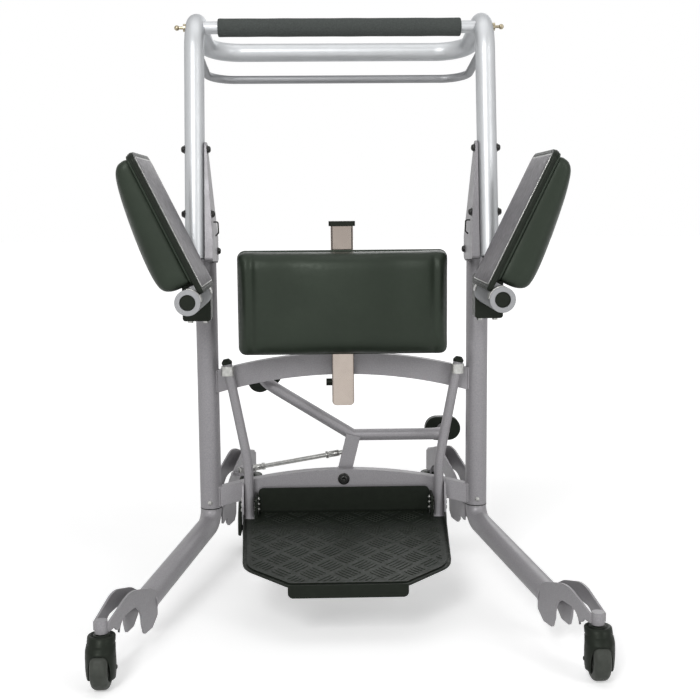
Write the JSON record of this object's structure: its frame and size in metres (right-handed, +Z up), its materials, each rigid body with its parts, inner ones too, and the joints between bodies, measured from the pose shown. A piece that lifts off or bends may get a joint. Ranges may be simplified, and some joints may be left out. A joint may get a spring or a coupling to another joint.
{
  "type": "patient turner",
  "caption": "Wheeled standing and transfer aid with swing-up padded seat halves, a knee pad on a sliding mast, a footplate, a push handle and legs opened by a foot pedal.",
  "frame": {"origin": "on the floor, midway across the object and midway between its front and rear ends", "axes": "+Z up, +X to the right seen from the patient, -Y towards the patient, +Y towards the carer"},
  "size_m": [0.8856, 0.8946, 1.1919],
  "materials": {
    "frame_paint": "satin",
    "silver_tube": "satin",
    "zinc": "satin",
    "chrome": "polished",
    "black_plastic": "matte",
    "vinyl": "satin",
    "foam": "matte",
    "tread": "matte",
    "tyre": "matte",
    "bolt_black": "gloss",
    "brass": "polished"
  },
  "bodies": {
    "frame": {"left_column": "frame_paint", "right_column": "frame_paint", "upper_crossbar": "frame_paint", "lower_crossbar": "frame_paint", "gusset_plates": "frame_paint", "footplate_hangers": "frame_paint", "footplate_brackets": "frame_paint", "handle_frame": "silver_tube", "lower_grip_loop": "silver_tube", "grip_bar": "silver_tube", "column_screws": "zinc", "hinge_block_bolts": "zinc", "seat_shafts": "zinc", "hanger_fittings": "zinc", "footplate_bolts": "zinc", "pivot_bolt": "zinc", "column_caps": "black_plastic", "upright_spigots": "black_plastic", "hinge_blocks": "black_plastic", "shaft_plugs": "black_plastic", "mast_bracket": "black_plastic", "footplate": "black_plastic", "hanger_caps": "black_plastic", "grip_foam": "foam", "tread_mat": "tread", "gusset_bolts": "bolt_black", "belt_hooks": "bolt_black", "strap_studs": "brass"},
    "left_leg": {"left_leg_tube": "frame_paint", "left_front_arch": "frame_paint", "left_rear_arch": "frame_paint"},
    "right_leg": {"right_leg_tube": "frame_paint", "right_front_arch": "frame_paint", "right_rear_arch": "frame_paint"},
    "pedal": {"pedal_lever": "frame_paint", "pedal_pads": "tread"},
    "left_tie": {"left_tie_rod": "zinc"},
    "right_tie": {"right_tie_rod": "zinc"},
    "left_seat": {"left_seat_sleeve": "silver_tube", "left_seat_board": "frame_paint", "left_seat_cushion": "vinyl"},
    "right_seat": {"right_seat_sleeve": "silver_tube", "right_seat_board": "frame_paint", "right_seat_cushion": "vinyl"},
    "knee_support": {"knee_mast": "chrome", "mast_cap": "black_plastic", "knee_backplate": "frame_paint", "knee_pad": "vinyl"},
    "latch": {"mast_latch": "black_plastic"},
    "left_front_castor": {"left_front_fork": "black_plastic"},
    "left_front_roller": {"left_front_wheel": "tyre"},
    "left_rear_castor": {"left_rear_fork": "black_plastic"},
    "left_rear_roller": {"left_rear_wheel": "tyre"},
    "left_brake": {"left_brake_pedal": "black_plastic"},
    "right_front_castor": {"right_front_fork": "black_plastic"},
    "right_front_roller": {"right_front_wheel": "tyre"},
    "right_rear_castor": {"right_rear_fork": "black_plastic"},
    "right_rear_roller": {"right_rear_wheel": "tyre"},
    "right_brake": {"right_brake_pedal": "black_plastic"}
  },
  "joints": [
    {"name": "left_leg_swing", "type": "hinge", "parent": "frame", "child": "left_leg", "pos_m": [-0.283, 0.14064, 0.164], "axis": [0, 0, 1], "range_deg": [0, 14]},
    {"name": "right_leg_swing", "type": "hinge", "parent": "frame", "child": "right_leg", "pos_m": [0.283, 0.14064, 0.164], "axis": [0, 0, 1], "range_deg": [-14, 0]},
    {"name": "pedal_rock", "type": "hinge", "parent": "frame", "child": "pedal", "pos_m": [0, 0.15864, 0.223], "axis": [0, -1, 0], "range_deg": [0, 33.6]},
    {"name": "left_tie_eye", "type": "hinge", "parent": "left_leg", "child": "left_tie", "pos_m": [-0.22097, 0.2406, 0.219], "axis": [0, 0, 1], "range_deg": [-16.94, 0]},
    {"name": "right_tie_eye", "type": "hinge", "parent": "right_leg", "child": "right_tie", "pos_m": [0.22097, 0.2406, 0.177], "axis": [0, 0, 1], "range_deg": [0, 16.94]},
    {"name": "left_seat_fold", "type": "hinge", "parent": "frame", "child": "left_seat", "pos_m": [-0.283, -0.09736, 0.628], "axis": [0, 1, 0], "range_deg": [0, 116]},
    {"name": "right_seat_fold", "type": "hinge", "parent": "frame", "child": "right_seat", "pos_m": [0.283, -0.09736, 0.628], "axis": [0, -1, 0], "range_deg": [0, 116]},
    {"name": "knee_height", "type": "slide", "parent": "frame", "child": "knee_support", "axis": [0, 0, 1], "range_m": [-0.11, 0.03]},
    {"name": "latch_pull", "type": "slide", "parent": "frame", "child": "latch", "axis": [-1, 0, 0], "range_m": [0, 0.004], "stiffness_N_per_m": 600},
    {"name": "left_front_swivel", "type": "hinge", "parent": "left_leg", "child": "left_front_castor", "pos_m": [-0.41775, -0.39982, 0.09], "axis": [0, 0, 1], "continuous": true},
    {"name": "left_front_roll", "type": "hinge", "parent": "left_front_castor", "child": "left_front_roller", "pos_m": [-0.41775, -0.40982, 0.0375], "axis": [1, 0, 0], "continuous": true},
    {"name": "left_rear_swivel", "type": "hinge", "parent": "left_leg", "child": "left_rear_castor", "pos_m": [-0.21526, 0.41232, 0.169], "axis": [0, 0, 1], "continuous": true},
    {"name": "left_rear_roll", "type": "hinge", "parent": "left_rear_castor", "child": "left_rear_roller", "pos_m": [-0.21526, 0.37832, 0.0625], "axis": [1, 0, 0], "continuous": true},
    {"name": "left_brake_press", "type": "hinge", "parent": "left_rear_castor", "child": "left_brake", "pos_m": [-0.21526, 0.36632, 0.152], "axis": [1, 0, 0], "range_deg": [0, 12], "stiffness_Nm_per_rad": 1},
    {"name": "right_front_swivel", "type": "hinge", "parent": "right_leg", "child": "right_front_castor", "pos_m": [0.41775, -0.39982, 0.09], "axis": [0, 0, 1], "continuous": true},
    {"name": "right_front_roll", "type": "hinge", "parent": "right_front_castor", "child": "right_front_roller", "pos_m": [0.41775, -0.40982, 0.0375], "axis": [1, 0, 0], "continuous": true},
    {"name": "right_rear_swivel", "type": "hinge", "parent": "right_leg", "child": "right_rear_castor", "pos_m": [0.21526, 0.41232, 0.169], "axis": [0, 0, 1], "continuous": true},
    {"name": "right_rear_roll", "type": "hinge", "parent": "right_rear_castor", "child": "right_rear_roller", "pos_m": [0.21526, 0.37832, 0.0625], "axis": [1, 0, 0], "continuous": true},
    {"name": "right_brake_press", "type": "hinge", "parent": "right_rear_castor", "child": "right_brake", "pos_m": [0.21526, 0.36632, 0.152], "axis": [1, 0, 0], "range_deg": [0, 12], "stiffness_Nm_per_rad": 1}
  ],
  "couplings": [
    {"joint": "right_leg_swing", "follows": "left_leg_swing", "ratio": -1},
    {"joint": "pedal_rock", "follows": "left_leg_swing", "ratio": 2.4},
    {"joint": "left_tie_eye", "follows": "left_leg_swing", "ratio": -1.21},
    {"joint": "right_tie_eye", "follows": "left_leg_swing", "ratio": 1.21}
  ]
}
